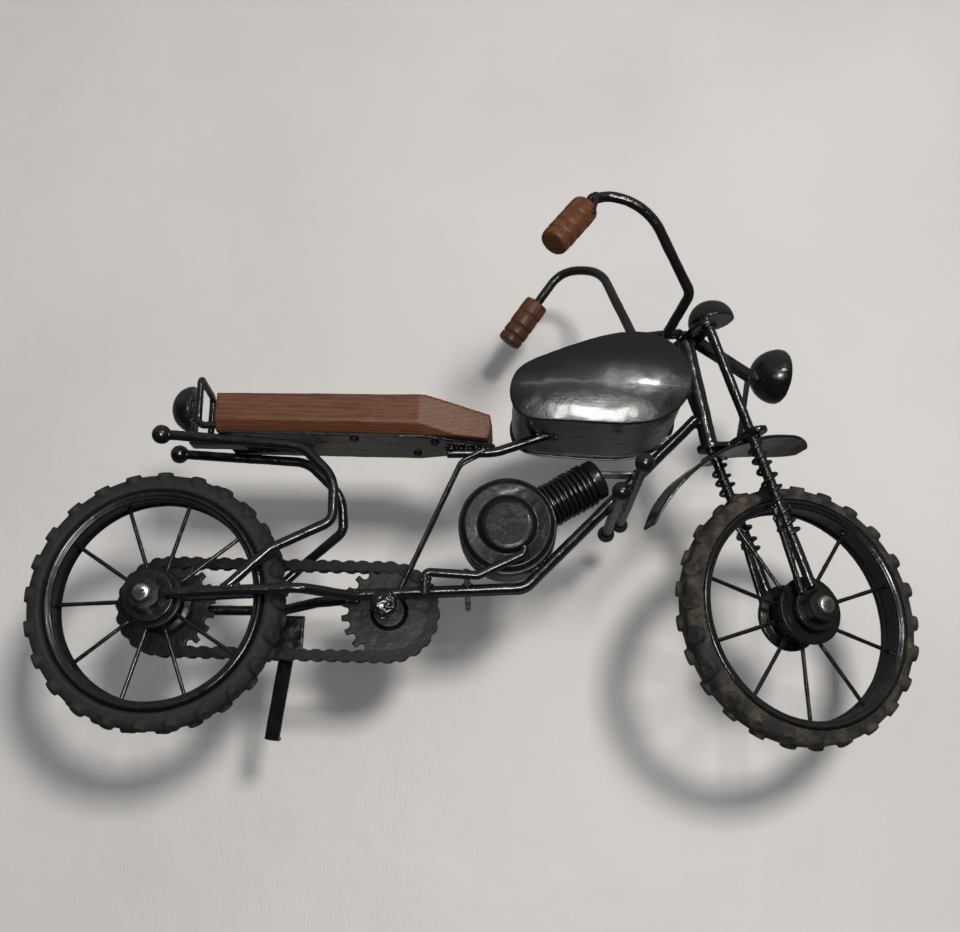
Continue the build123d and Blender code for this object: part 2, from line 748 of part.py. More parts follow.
lamp_back_x, lamp_front_x, head_lamp_rise = 269.6, 283.8, 117.0
with BuildPart() as headlamp:
    with BuildSketch(frame_plane):
        with BuildLine():
            ThreePointArc(
                (lamp_back_x, head_lamp_rise), (lamp_back_x + 4.2, head_lamp_rise + 8.9),
                (lamp_front_x - 2.5, head_lamp_rise + 13),
            )
            Line((lamp_front_x - 2.5, head_lamp_rise + 13), (lamp_front_x, head_lamp_rise + 13))
            Line((lamp_front_x, head_lamp_rise + 13), (lamp_front_x, head_lamp_rise + 11.6))
            Line((lamp_front_x, head_lamp_rise + 11.6), (lamp_front_x - 2, head_lamp_rise + 11.4))
            Line((lamp_front_x - 2, head_lamp_rise + 11.4), (lamp_front_x - 2, head_lamp_rise))
            Line((lamp_front_x - 2, head_lamp_rise), (lamp_back_x, head_lamp_rise))
        make_face()
    revolve(axis=Axis(at(0, 0, head_lamp_rise), (1, 0, 0)))
save_steered(headlamp.part, "headlamp")


def flat_bar(start, end, depth, half_width):
    """Straight flat bar in the middle plane; start and end are (x, rise)."""
    dx, dz = end[0] - start[0], end[1] - start[1]
    middle = at((start[0] + end[0]) / 2, 0, (start[1] + end[1]) / 2)
    with BuildPart() as bar:
        with BuildSketch(Plane(origin=middle, x_dir=(dx, 0, dz), z_dir=(0, -1, 0))):
            Rectangle(hypot(dx, dz), depth)
        extrude(amount=half_width, both=True)
    return bar.part


save_steered(flat_bar((241.6, 127.9), (271.4, 113.6), 4.3, 2.6), "headlamp_bar")
save_steered(flat_bar((267.4, 114.0), (260.2, 79.2), 1.4, 1.8), "headlamp_strap")

fender_r = 78.2
fender_sheet = 1.5
fender_edge = [
    (211, 3.2), (219, 7.6), (236, 10.6), (256, 11.6), (272, 14.2), (284, 13.2), (291, 8.6), (294.5, 2.0),
]
with BuildPart() as front_fender:
    with BuildSketch(frame_plane):
        with BuildLine():
            outer = CenterArc((front_axle_x, front_axle_rise), fender_r + fender_sheet, 84, 72)
            inner = CenterArc((front_axle_x, front_axle_rise), fender_r, 84, 72)
            Line(outer @ 0, inner @ 0)
            Line(outer @ 1, inner @ 1)
        make_face()
    extrude(amount=14, both=True)
    with BuildSketch(Plane.XY):
        with BuildLine():
            left = Spline(*fender_edge)
            right = Spline(*[(x, -y) for x, y in fender_edge])
            Line(left @ 0, right @ 0)
            Line(left @ 1, right @ 1)
        make_face()
    extrude(amount=250, mode=Mode.INTERSECT)
save_steered(front_fender.part, "front_fender")


# ---- handlebar and grips, in their resting place ----

right_grip_end = (171.0, -64.0, 144.0)
right_bend = (190.5, -54.0, 173.5)
left_grip_end = (152.2, 61.5, 150.1)
left_bend = (178.0, 55.0, 187.0)
grip_length = 26.0
grip_r = 6.4
bar_in_grip = 18.0


def along(start, end, distance):
    """Point at a distance from start towards end."""
    way = (Vector(*end) - Vector(*start)).normalized()
    return tuple(Vector(*start) + way * distance)


bar_points = [
    along(right_grip_end, right_bend, grip_length - bar_in_grip), right_bend,
    (212.0, -52.5, 169.5), (233.5, -29.0, 138.5), (225.0, -10.0, 126.4), (233.5, 0.5, 131.7),
    (213.0, 14.0, 134.5), (198.0, 46.0, 188.0), left_bend,
    along(left_grip_end, left_bend, grip_length - bar_in_grip),
]
bar_bends = [12.0, 28.0, 6.0, 3.0, 3.0, 5.0, 23.0, 13.5]
save(bent_rod(bar_points, rod_d, bar_bends), "handlebar")


def make_grip(end, bend):
    """Turned wooden grip with grooves, slid over the end of the bar."""
    way = (at(*bend) - at(*end)).normalized()
    grip_plane = Plane(origin=at(*end), x_dir=way, z_dir=way.cross(Vector(0, 0, 1)))
    with BuildPart() as grip:
        with BuildSketch(grip_plane):
            with Locations((grip_length / 2, grip_r / 2)):
                Rectangle(grip_length, grip_r)
            with Locations(*[(x, grip_r) for x in (8.0, 15.5, 21.5)]):
                Rectangle(1.1, 1.4, mode=Mode.SUBTRACT)
        revolve(axis=Axis(at(*end), way))
        chamfer(grip.edges().filter_by(GeomType.CIRCLE).sort_by(Axis(at(*end), way))[0], 0.8)
    return grip.part


save(make_grip(right_grip_end, right_bend), "grip_right")
save(make_grip(left_grip_end, left_bend), "grip_left")

lever_bar = [(186.0, -56.0, 168.0), (191.5, -57.5, 176.0), (187.6, -61.5, 160.0)]
save(bent_rod(lever_bar, 2.4, 2.0), "brake_lever")
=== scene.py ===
import json
import math
import random

import bmesh
import bpy
import numpy as np
from mathutils import Matrix, Vector
from mathutils.bvhtree import BVHTree

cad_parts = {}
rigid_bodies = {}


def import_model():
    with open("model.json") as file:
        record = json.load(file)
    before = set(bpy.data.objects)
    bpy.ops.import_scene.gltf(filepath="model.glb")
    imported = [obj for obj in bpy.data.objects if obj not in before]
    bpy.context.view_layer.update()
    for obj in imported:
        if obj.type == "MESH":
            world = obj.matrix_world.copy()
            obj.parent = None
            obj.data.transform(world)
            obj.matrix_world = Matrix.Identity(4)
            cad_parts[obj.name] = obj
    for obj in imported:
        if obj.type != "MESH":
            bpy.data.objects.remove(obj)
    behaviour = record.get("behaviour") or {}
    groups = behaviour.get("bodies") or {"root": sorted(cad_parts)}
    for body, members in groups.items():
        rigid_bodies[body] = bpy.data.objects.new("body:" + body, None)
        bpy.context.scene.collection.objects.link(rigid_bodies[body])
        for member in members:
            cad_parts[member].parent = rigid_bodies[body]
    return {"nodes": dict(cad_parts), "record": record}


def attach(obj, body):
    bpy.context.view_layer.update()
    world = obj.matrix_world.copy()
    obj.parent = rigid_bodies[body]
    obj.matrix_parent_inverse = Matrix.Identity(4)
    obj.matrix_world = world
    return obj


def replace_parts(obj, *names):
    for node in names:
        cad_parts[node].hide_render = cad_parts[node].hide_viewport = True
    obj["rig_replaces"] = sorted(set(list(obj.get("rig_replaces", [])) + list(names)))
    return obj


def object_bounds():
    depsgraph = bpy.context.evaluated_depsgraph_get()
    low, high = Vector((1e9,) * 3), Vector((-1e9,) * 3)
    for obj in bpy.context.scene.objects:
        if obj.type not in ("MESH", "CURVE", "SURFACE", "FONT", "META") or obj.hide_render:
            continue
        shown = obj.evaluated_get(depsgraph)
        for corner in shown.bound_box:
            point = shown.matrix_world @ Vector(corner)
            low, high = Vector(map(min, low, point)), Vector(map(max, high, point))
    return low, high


# Looks of the welded display motorcycle. Metres, in the frame of the CAD part.
# Tyres, rims, bolts, nuts, springs, fins and grips are rebuilt here with finer shapes; the other CAD
# nodes keep their meshes and get a coat of paint as modifiers; weld beads join the enamelled pieces.

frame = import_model()
cad_lo, cad_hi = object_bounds()
record = frame["record"]
nodes = frame["nodes"]
joints = {j["name"]: j for j in record["behaviour"]["joints"]}
slot_of = {s["node"]: s["material_slot"] for s in record["subparts"]}
body_of = {n: b for b, members in record["behaviour"]["bodies"].items() for n in members}
scene = bpy.context.scene
dice = random.Random(7)
MM = 0.001
TAU = 2 * math.pi


# ---- materials ----

class Look:
    """One procedural material, with short names for the nodes it is made of."""

    def __init__(self, name):
        self.material = bpy.data.materials.new(name)
        self.material.use_nodes = True
        self.tree = self.material.node_tree
        self.tree.nodes.clear()
        self.out = self.tree.nodes.new("ShaderNodeOutputMaterial")
        self.coords = self.node("ShaderNodeTexCoord").outputs["Object"]

    def feed(self, socket, value):
        if isinstance(value, bpy.types.NodeSocket):
            self.tree.links.new(value, socket)
        elif isinstance(value, tuple) and len(value) == 3 and socket.type == "RGBA":
            socket.default_value = (*value, 1)
        else:
            socket.default_value = value

    def node(self, kind, settings=None, **inputs):
        made = self.tree.nodes.new(kind)
        for key, value in (settings or {}).items():
            setattr(made, key, value)
        for key, value in inputs.items():
            self.feed(made.inputs[key.replace("_", " ")], value)
        return made

    def noise(self, scale, detail=4.0, rough=0.55, where=None, bend=0.0):
        made = self.node("ShaderNodeTexNoise", Scale=scale, Detail=detail, Roughness=rough, Distortion=bend)
        self.feed(made.inputs["Vector"], where or self.coords)
        return made.outputs["Fac"]

    def span(self, value, low, high, to_low=0.0, to_high=1.0):
        made = self.node("ShaderNodeMapRange", From_Min=low, From_Max=high, To_Min=to_low, To_Max=to_high)
        self.feed(made.inputs["Value"], value)
        return made.outputs["Result"]

    def maths(self, operation, a, b=0.0):
        made = self.node("ShaderNodeMath", {"operation": operation, "use_clamp": operation != "SUBTRACT"})
        self.feed(made.inputs[0], a)
        self.feed(made.inputs[1], b)
        return made.outputs[0]

    def mix(self, share, first, second):
        made = self.node("ShaderNodeMixRGB")
        for socket, value in zip(made.inputs, (share, first, second)):
            self.feed(socket, value)
        return made.outputs[0]

    def stretched(self, scale, turn=(0, 0, 0)):
        made = self.node("ShaderNodeMapping", Vector=self.coords)
        made.inputs["Rotation"].default_value = turn
        made.inputs["Scale"].default_value = scale
        return made.outputs["Vector"]

    def facing_up(self):
        normal = self.node("ShaderNodeTexCoord").outputs["Normal"]
        return self.node("ShaderNodeSeparateXYZ", Vector=normal).outputs["Z"]

    def bump(self, layers):
        """Layers are (height, depth in metres), the coarsest first."""
        normal = None
        for height, depth in layers:
            made = self.node("ShaderNodeBump", Strength=1.0, Distance=depth, Height=height)
            if normal:
                self.feed(made.inputs["Normal"], normal)
            normal = made.outputs["Normal"]
        return normal

    def surface(self, **inputs):
        shader = self.node("ShaderNodeBsdfPrincipled", **inputs)
        self.tree.links.new(shader.outputs[0], self.out.inputs["Surface"])
        return self.material


def enamel_look(name, rough_low, rough_high, lump_depth, dust, shine=1.0):
    """Gloss black enamel put on by hand over rough iron, a little dusty, chipped here and there."""
    look = Look(name)
    lumps = look.noise(210, 3.0)
    strokes = look.noise(900, 5.0)
    patches = look.noise(60, 4.0)
    upward = look.span(look.facing_up(), 0.2, 1.0)
    settled = look.maths("MULTIPLY", upward, look.span(look.noise(130, 6.0), 0.42, 0.7))
    settled = look.maths("MULTIPLY", settled, dust)
    chips = look.span(look.noise(520, 8.0, 0.7), 0.735, 0.75)
    colour = look.mix(patches, (0.003, 0.0031, 0.0035), (0.007, 0.0068, 0.0066))
    colour = look.mix(settled, colour, (0.16, 0.145, 0.125))
    colour = look.mix(chips, colour, (0.075, 0.055, 0.042))
    rough = look.span(look.noise(170, 5.0), 0.3, 0.7, rough_low, rough_high)
    rough = look.maths("ADD", rough, look.maths("MULTIPLY", settled, 0.6))
    rough = look.maths("ADD", rough, look.maths("MULTIPLY", chips, 0.3))
    normal = look.bump([(lumps, lump_depth), (strokes, 0.00007), (look.noise(2600, 3.0), 0.00002)])
    return look.surface(
        Base_Color=colour, Roughness=rough, Normal=normal, Coat_Weight=0.35 * shine, Coat_Roughness=0.09,
        Specular_IOR_Level=0.55 * shine,
    )


def steel_look(name, dark, light, metallic, rough_low, rough_high, shine=0.5):
    """Bare or blackened steel with scratches and dull patches."""
    look = Look(name)
    patches = look.noise(300, 6.0, 0.65)
    scratches = look.noise(1500, 4.0, 0.6, look.stretched((0.15, 1.0, 1.0)))
    colour = look.mix(look.span(patches, 0.35, 0.65), dark, light)
    rough = look.span(look.noise(700, 5.0), 0.3, 0.7, rough_low, rough_high)
    normal = look.bump([(patches, 0.00012), (scratches, 0.00005)])
    return look.surface(
        Base_Color=colour, Metallic=metallic, Roughness=rough, Normal=normal, Specular_IOR_Level=shine,
    )


def rubber_look(name, dust):
    """Matte black rubber with fine pores and brown dust caught between the buttons."""
    look = Look(name)
    pores = look.noise(2300, 4.0, 0.6)
    folds = look.noise(320, 5.0)
    caught = look.span(look.noise(95, 8.0, 0.7), 0.44, 0.72)
    grit = look.span(look.noise(1300, 5.0, 0.7), 0.42, 0.66)
    amount = look.maths("MULTIPLY", look.maths("MULTIPLY", caught, look.maths("ADD", grit, 0.35)), dust)
    colour = look.mix(folds, (0.008, 0.0078, 0.0075), (0.016, 0.015, 0.0135))
    colour = look.mix(amount, colour, (0.125, 0.098, 0.062))
    rough = look.span(folds, 0.3, 0.7, 0.62, 0.88)
    rough = look.maths("ADD", rough, look.maths("MULTIPLY", amount, 0.2))
    normal = look.bump([(folds, 0.00025), (pores, 0.00009)])
    return look.surface(Base_Color=colour, Roughness=rough, Normal=normal, Specular_IOR_Level=0.35)


def wood_look(name, grain_way, centre):
    """Reddish stained wood; the grain runs along grain_way."""
    look = Look(name)
    way = Vector(grain_way).normalized()
    turn = way.to_track_quat("X", "Z").inverted()
    place = look.node("ShaderNodeVectorMath", {"operation": "SUBTRACT"})
    look.feed(place.inputs[0], look.coords)
    place.inputs[1].default_value = centre
    turned_to_x = look.node("ShaderNodeMapping", Vector=place.outputs[0])
    turned_to_x.inputs["Rotation"].default_value = turn.to_euler()
    along = turned_to_x.outputs["Vector"]
    streaked = look.node("ShaderNodeMapping", Vector=along)
    streaked.inputs["Scale"].default_value = (0.09, 1.0, 1.0)
    streaks = look.noise(650, 7.0, 0.6, streaked.outputs["Vector"], 0.6)
    rings = look.node(
        "ShaderNodeTexWave", {"wave_type": "RINGS", "rings_direction": "X"},
        Scale=230.0, Distortion=7.0, Detail=4.0, Detail_Scale=1.2,
    )
    look.feed(rings.inputs["Vector"], streaked.outputs["Vector"])
    fibres = look.noise(2600, 4.0, 0.6, streaked.outputs["Vector"])
    tone = look.mix(0.72, rings.outputs["Fac"], streaks)
    colour = look.mix(look.span(tone, 0.2, 0.8), (0.050, 0.0165, 0.0075), (0.108, 0.040, 0.0165))
    worn = look.span(look.noise(110, 6.0), 0.55, 0.75)
    colour = look.mix(look.maths("MULTIPLY", worn, 0.3), colour, (0.125, 0.058, 0.027))
    pits = look.maths("SUBTRACT", 1.0, look.span(fibres, 0.3, 0.46))
    colour = look.mix(look.maths("MULTIPLY", pits, 0.6), colour, (0.022, 0.008, 0.005))
    rough = look.span(streaks, 0.3, 0.7, 0.30, 0.52)
    normal = look.bump([(look.noise(160, 3.0), 0.0003), (streaks, 0.00013), (fibres, 0.00008)])
    return look.surface(
        Base_Color=colour, Roughness=rough, Normal=normal, Coat_Weight=0.1, Coat_Roughness=0.3,
        Specular_IOR_Level=0.3,
    )


BLACK = (0.003, 0.003, 0.0032)
looks = {
    "enamel": enamel_look("enamel", 0.12, 0.28, 0.00026, 0.10),
    "tank_enamel": enamel_look("tank_enamel", 0.20, 0.24, 0.00004, 0.06),
    "satin_enamel": enamel_look("satin_enamel", 0.26, 0.34, 0.00010, 0.04, 0.4),
    "blackened_steel": steel_look("blackened_steel", BLACK, (0.010, 0.0095, 0.009), 0.0, 0.28, 0.46, 0.3),
    "chain_steel": steel_look("chain_steel", BLACK, (0.008, 0.0075, 0.007), 0.0, 0.32, 0.5, 0.2),
    "bolt_steel": steel_look("bolt_steel", (0.20, 0.185, 0.165), (0.62, 0.60, 0.56), 0.95, 0.22, 0.45),
    "worn_steel": steel_look("worn_steel", (0.02, 0.02, 0.02), (0.30, 0.29, 0.27), 0.4, 0.35, 0.55),
    "tread_rubber": rubber_look("tread_rubber", 0.10),
    "dusty_rubber": rubber_look("dusty_rubber", 0.70),
}


# ---- meshes ----

def points_of(node):
    data = nodes[node].data
    flat = np.empty(len(data.vertices) * 3, np.float32)
    data.vertices.foreach_get("co", flat)
    return flat.reshape(-1, 3).astype(float)


def unit(v):
    v = np.array(v, float)
    return v / np.linalg.norm(v)


def across(axis):
    """Two unit vectors square to the axis."""
    axis = unit(axis)
    helper = np.array((0, 0, 1.0)) if abs(axis[2]) < 0.8 else np.array((1.0, 0, 0))
    u = unit(np.cross(helper, axis))
    return u, np.cross(axis, u)


def round_ways(angle, u, v):
    """Unit vectors at the angles, in the plane of u and v."""
    return np.outer(np.cos(angle), u) + np.outer(np.sin(angle), v)


def main_axis(points):
    """Middle, direction, half length and greatest radius of a long cloud of points."""
    rough_middle = points.mean(0)
    values, vectors = np.linalg.eigh(np.cov((points - rough_middle).T))
    way = vectors[:, np.argmax(values)]
    along = (points - rough_middle) @ way
    middle = rough_middle + way * (along.min() + along.max()) / 2
    flat = points - middle - np.outer((points - middle) @ way, way)
    return middle, way, (along.max() - along.min()) / 2, np.linalg.norm(flat, axis=1).max()


def cylinder_coords(points, origin, axis):
    """Distance along the axis, and from it, of each point."""
    away = points - origin
    along = away @ axis
    return along, np.linalg.norm(away - np.outer(along, axis), axis=1)


class Shape:
    """Points and faces put together ring by ring."""

    def __init__(self):
        self.points, self.faces = [], []

    def rings(self, rings, closed=False):
        start = len(self.points)
        count, size = len(rings), len(rings[0])
        for ring in rings:
            self.points.extend(tuple(p) for p in ring)
        for i in range(count if closed else count - 1):
            low, high = start + i * size, start + (i + 1) % count * size
            for j in range(size):
                k = (j + 1) % size
                self.faces.append((low + j, low + k, high + k, high + j))
        if not closed:
            self.faces.append(tuple(start + j for j in reversed(range(size))))
            self.faces.append(tuple(start + (count - 1) * size + j for j in range(size)))

    def add_mesh(self, points, faces):
        start = len(self.points)
        self.points.extend(tuple(p) for p in points)
        self.faces.extend(tuple(start + i for i in face) for face in faces)


def rounded(profile, closed, passes=2, share=0.25):
    """Corner cutting: softens the corners of a profile."""
    for _ in range(passes):
        pairs = list(zip(profile, profile[1:] + profile[:1]))
        if not closed:
            pairs = pairs[:-1]
        cut = []
        for (a, b), (c, d) in pairs:
            cut.append((a + (c - a) * share, b + (d - b) * share))
            cut.append((c - (c - a) * share, d - (d - b) * share))
        profile = cut if closed else [profile[0]] + cut + [profile[-1]]
    return profile


def turned(profile, origin, axis, segments=64):
    """Rings of a turned piece; the profile holds (distance along the axis, radius)."""
    u, v = across(axis)
    angle = np.arange(segments) * TAU / segments
    spokes = round_ways(angle, u, v)
    return [np.array(origin) + unit(axis) * t + spokes * max(r, 1e-6) for t, r in profile]


def tube(path, radii, segments=14):
    """Rings of a round rod along a path of points."""
    path = np.array(path, float)
    ways = np.gradient(path, axis=0)
    u = across(ways[0])[0]
    angle = np.arange(segments) * TAU / segments
    rings = []
    for point, way, radius in zip(path, ways, radii):
        way = unit(way)
        u = unit(u - way * (u @ way))
        v = np.cross(way, u)
        rings.append(point + radius * round_ways(angle, u, v))
    return rings


def piece(name, shape, look, body, stands_for):
    mesh = bpy.data.meshes.new(name)
    mesh.from_pydata(shape.points, [], shape.faces)
    mesh.materials.append(look)
    mesh.shade_smooth()
    made = bpy.data.objects.new(name, mesh)
    scene.collection.objects.link(made)
    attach(made, body)
    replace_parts(made, *stands_for)
    return made


def rebuilt(node, shape, look):
    """Piece that stands for one CAD node, on its body."""
    return piece(node + "_look", shape, look, body_of[node], [node])


def add_lumps(obj, height, size, level=0.5):
    """Hand-made unevenness. Level 1 lets it only sink below the surface, 0.5 lets it go both ways."""
    texture = bpy.data.textures.new("lumps", "CLOUDS")
    texture.noise_scale = size
    displace = obj.modifiers.new("lumps", "DISPLACE")
    displace.texture = texture
    displace.strength = height
    displace.mid_level = level


def coat(obj, voxel, soften, lumps, lump_size, level=0.5):
    """Evens out the mesh, rounds its edges as thick paint does and adds lumps."""
    remesh = obj.modifiers.new("even", "REMESH")
    remesh.mode = "VOXEL"
    remesh.voxel_size = voxel
    remesh.use_smooth_shade = True
    smooth = obj.modifiers.new("soften", "SMOOTH")
    smooth.factor = 0.5
    smooth.iterations = soften
    if lumps:
        add_lumps(obj, lumps, lump_size, level)


def wheel_place(joint):
    """Centre of the wheel, its axle direction, and forward and up square to it."""
    centre = np.array(joints[joint]["pos_m"], float)
    axle = unit(joints[joint]["axis"])
    turn = Vector((0, 1, 0)).rotation_difference(Vector(axle))
    return centre, axle, np.array(turn @ Vector((1, 0, 0))), np.array(turn @ Vector((0, 0, 1)))


# ---- tyres ----

KNOBS_PER_SIDE = 24
KNOB_STEP = 2.1 * MM          # how far the buttons stand above the tread
KNOB_ROOT = 2.6 * MM          # how deep they start below it
KNOB_SIDE = 4.3 * MM          # off the tyre's middle
KNOB_LEAN = 0.42
KNOB_R = 3.55 * MM
KNOB_LENGTH = 3.45 * MM


def knob_profile(radius, length):
    """Button with a softened rim and a slightly hollow top."""
    return [
        (0, radius * 1.08), (length - 0.9 * MM, radius), (length - 0.25 * MM, radius * 0.96),
        (length, radius * 0.86), (length - 0.05 * MM, radius * 0.5), (length - 0.12 * MM, 0),
    ]


def make_tyre(node, joint, look):
    centre, axle, forward, up = wheel_place(joint)
    _, away = cylinder_coords(points_of(node), centre, axle)
    tread, bead = away.max() - KNOB_STEP, away.min()
    half = [
        (0.9, tread - 0.45 * MM), (1.5, tread), (4.0, tread - 0.1 * MM), (5.4, tread - 1.1 * MM),
        (6.6, tread - 2.9 * MM), (7.25, tread - 4.1 * MM), (7.0, tread - 4.6 * MM), (7.5, tread - 5.1 * MM),
        (7.55, tread - 5.9 * MM), (7.0, tread - 6.3 * MM), (7.3, tread - 6.9 * MM),
        (7.0, bead + 0.8 * MM), (5.6, bead),
    ]
    profile = [(a * MM, r) for a, r in half] + [(-a * MM, r) for a, r in reversed(half)]
    shape = Shape()
    shape.rings(turned(rounded(profile, True, 1), centre, axle, 200), closed=True)
    step = TAU / KNOBS_PER_SIDE
    for side in (-1, 1):
        for i in range(KNOBS_PER_SIDE):
            angle = -TAU / 4 + step * (i + (0.5 if side > 0 else 0)) + dice.uniform(-0.012, 0.012)
            out = forward * math.cos(angle) + up * math.sin(angle)
            root = centre + out * (tread - KNOB_ROOT) + axle * side * KNOB_SIDE
            lean = unit(out + axle * KNOB_LEAN * side)
            radius = KNOB_R * dice.uniform(0.94, 1.04)
            length = KNOB_LENGTH + dice.uniform(-0.15, 0.15) * MM
            shape.rings(turned(knob_profile(radius, length), root, lean, 24))
    if joint == "rear_wheel_spin":      # it stands on the ground with a small flat
        shape.points = [(x, y, max(z, 0.0)) for x, y, z in shape.points]
    coat(rebuilt(node, shape, look), 0.36 * MM, 1, 0.14 * MM, 0.008)


make_tyre("rear_tyre", "rear_wheel_spin", looks["tread_rubber"])
make_tyre("front_tyre", "front_wheel_spin", looks["dusty_rubber"])


# ---- rims ----

def make_rim(node, joint):
    centre, axle, _, _ = wheel_place(joint)
    _, away = cylinder_coords(points_of(node), centre, axle)
    inner, outer = away.min(), away.max()
    half = [
        (0.0, inner + 1.3 * MM), (3.6, inner + 1.3 * MM), (4.4, inner + 0.5 * MM), (5.1, inner - 0.1 * MM),
        (6.3, inner - 0.1 * MM), (6.9, inner + 0.5 * MM), (6.8, inner + 1.3 * MM), (7.3, inner + 1.9 * MM),
        (7.5, inner + 2.8 * MM), (7.1, inner + 3.5 * MM), (6.2, inner + 3.9 * MM),
        (5.6, outer - 0.4 * MM), (5.2, outer),
    ]
    profile = [(a * MM, r) for a, r in half] + [(-a * MM, r) for a, r in reversed(half[1:])]
    shape = Shape()
    shape.rings(turned(rounded(profile, True, 2), centre, axle, 180), closed=True)
    add_lumps(rebuilt(node, shape, looks["enamel"]), 0.35 * MM, 0.012)


make_rim("rear_rim", "rear_wheel_spin")
make_rim("front_rim", "front_wheel_spin")


# ---- bolts and nuts ----

NUT_CHAMFER = 0.9 * MM
THREAD_PITCH = 1.25 * MM
THREAD_DEPTH = 0.32 * MM
BOLT_CHAMFER = 0.8 * MM
RING_STEPS_PER_TURN = 6       # along the thread
TIP_SIZE = 0.0005 * MM        # the bolt's faces are drawn in to almost a point


def nut_rings(origin, axis, start, end, corner_r, turn):
    """Hexagon nut with its corners chamfered on both faces."""
    angle = np.arange(96) * TAU / 96
    ways = round_ways(angle, *across(axis))
    flat = corner_r * math.cos(math.pi / 6)
    hexagon = flat / np.cos((angle + turn) % (TAU / 6) - TAU / 12)
    rings = []
    for share, limit in ((0, 0.90), (0.3, 0.93), (0.6, 0.965), (1.0, 1.0)):
        rings.append((start + NUT_CHAMFER * share, np.minimum(hexagon, corner_r * limit)))
    rings += [(start + end - t, reach) for t, reach in reversed(rings)]
    lead = [(start, rings[0][1] * 0.05)]
    tail = [(end, rings[0][1] * 0.05)]
    return [origin + axis * t + reach[:, None] * ways for t, reach in lead + rings + tail]


def bolt_rings(origin, axis, start, end, radius):
    """Threaded rod with a shallow chamfer at both ends."""
    angle = np.arange(48) * TAU / 48
    u, v = across(axis)
    ways = round_ways(angle, u, v)
    tip = TIP_SIZE * np.outer(np.cos(angle), u)
    rings = [origin + axis * start + tip]
    for t in np.linspace(start, end, int((end - start) / (THREAD_PITCH / RING_STEPS_PER_TURN))):
        wave = np.abs(((t / THREAD_PITCH + angle / TAU) % 1) * 2 - 1)
        edge = min(t - start, end - t)
        reach = np.minimum(radius - THREAD_DEPTH * wave, radius - BOLT_CHAMFER + edge)
        rings.append(origin + axis * t + reach[:, None] * ways)
    rings.append(origin + axis * end + tip)
    return rings


def make_axle(axle_node, nuts_node, joint):
    centre, axle, _, _ = wheel_place(joint)
    along, away = cylinder_coords(points_of(axle_node), centre, axle)
    bolt = Shape()
    bolt.rings(bolt_rings(centre, axle, along.min(), along.max(), away.max()))
    rebuilt(axle_node, bolt, looks["bolt_steel"])
    along, away = cylinder_coords(points_of(nuts_node), centre, axle)
    nuts = Shape()
    for side in (along < 0, along > 0):
        turn = dice.uniform(0, 1)
        nuts.rings(nut_rings(centre, axle, along[side].min(), along[side].max(), away.max(), turn))
    bevel = rebuilt(nuts_node, nuts, looks["blackened_steel"]).modifiers.new("bevel", "BEVEL")
    bevel.width = 0.15 * MM
    bevel.segments = 2


make_axle("rear_axle", "rear_nuts", "rear_wheel_spin")
make_axle("front_axle", "front_nuts", "front_wheel_spin")


# ---- fork springs ----

SPRING_TURNS = 8.6
SPRING_WIRE = 0.85 * MM


def make_springs():
    centre, axle, _, _ = wheel_place("front_wheel_spin")
    points = points_of("fork_springs")
    side_of = (points - centre) @ axle
    shape = Shape()
    for pick in (side_of < 0, side_of > 0):
        middle, way, half, radius = main_axis(points[pick])
        if way[2] > 0:
            way = -way
        u, v = across(way)
        coil_r = radius - SPRING_WIRE
        steps = int(SPRING_TURNS * 40)
        path, radii = [], []
        for i in range(steps + 1):
            share = i / steps
            eased = share + 0.012 * math.sin(share * 17)
            angle = share * SPRING_TURNS * TAU
            reach = coil_r * (1 + 0.04 * math.sin(share * 23 + side_of[pick][0] * 900))
            spot = middle + way * (2 * eased - 1) * (half - SPRING_WIRE)
            path.append(spot + reach * (u * math.cos(angle) + v * math.sin(angle)))
            radii.append(SPRING_WIRE * (0.72 if i in (0, steps) else 1.0))
        shape.rings(tube(path, radii, 12))
    add_lumps(rebuilt("fork_springs", shape, looks["enamel"]), 0.2 * MM, 0.004)


make_springs()


# ---- cylinder fins ----

FIN_COUNT = 10
FIN_WIRE = 1.05 * MM


def make_fins():
    middle, way, _, _ = main_axis(points_of("cylinder"))
    along, away = cylinder_coords(points_of("cylinder_fins"), middle, way)
    ring_r = away.max() - FIN_WIRE
    first, last = along.min() + FIN_WIRE, along.max() - FIN_WIRE
    shape = Shape()
    for i in range(FIN_COUNT):
        spot = first + (last - first) * i / (FIN_COUNT - 1)
        tilt = unit(way + 0.02 * np.array([dice.uniform(-1, 1) for _ in range(3)]))
        u, v = across(tilt)
        size = ring_r * dice.uniform(0.985, 1.02)
        rings = []
        for k in range(72):
            angle = k * TAU / 72
            out = u * math.cos(angle) + v * math.sin(angle)
            spin = np.arange(12) * TAU / 12
            rings.append(middle + way * spot + out * size + FIN_WIRE * round_ways(spin, out, tilt))
        shape.rings(rings, closed=True)
    add_lumps(rebuilt("cylinder_fins", shape, looks["enamel"]), 0.25 * MM, 0.005)


make_fins()


# ---- grips ----

GROOVES = ((0.30, 0.06), (0.59, 0.10), (0.80, 0.12))     # place along the grip, depth as a share of its radius


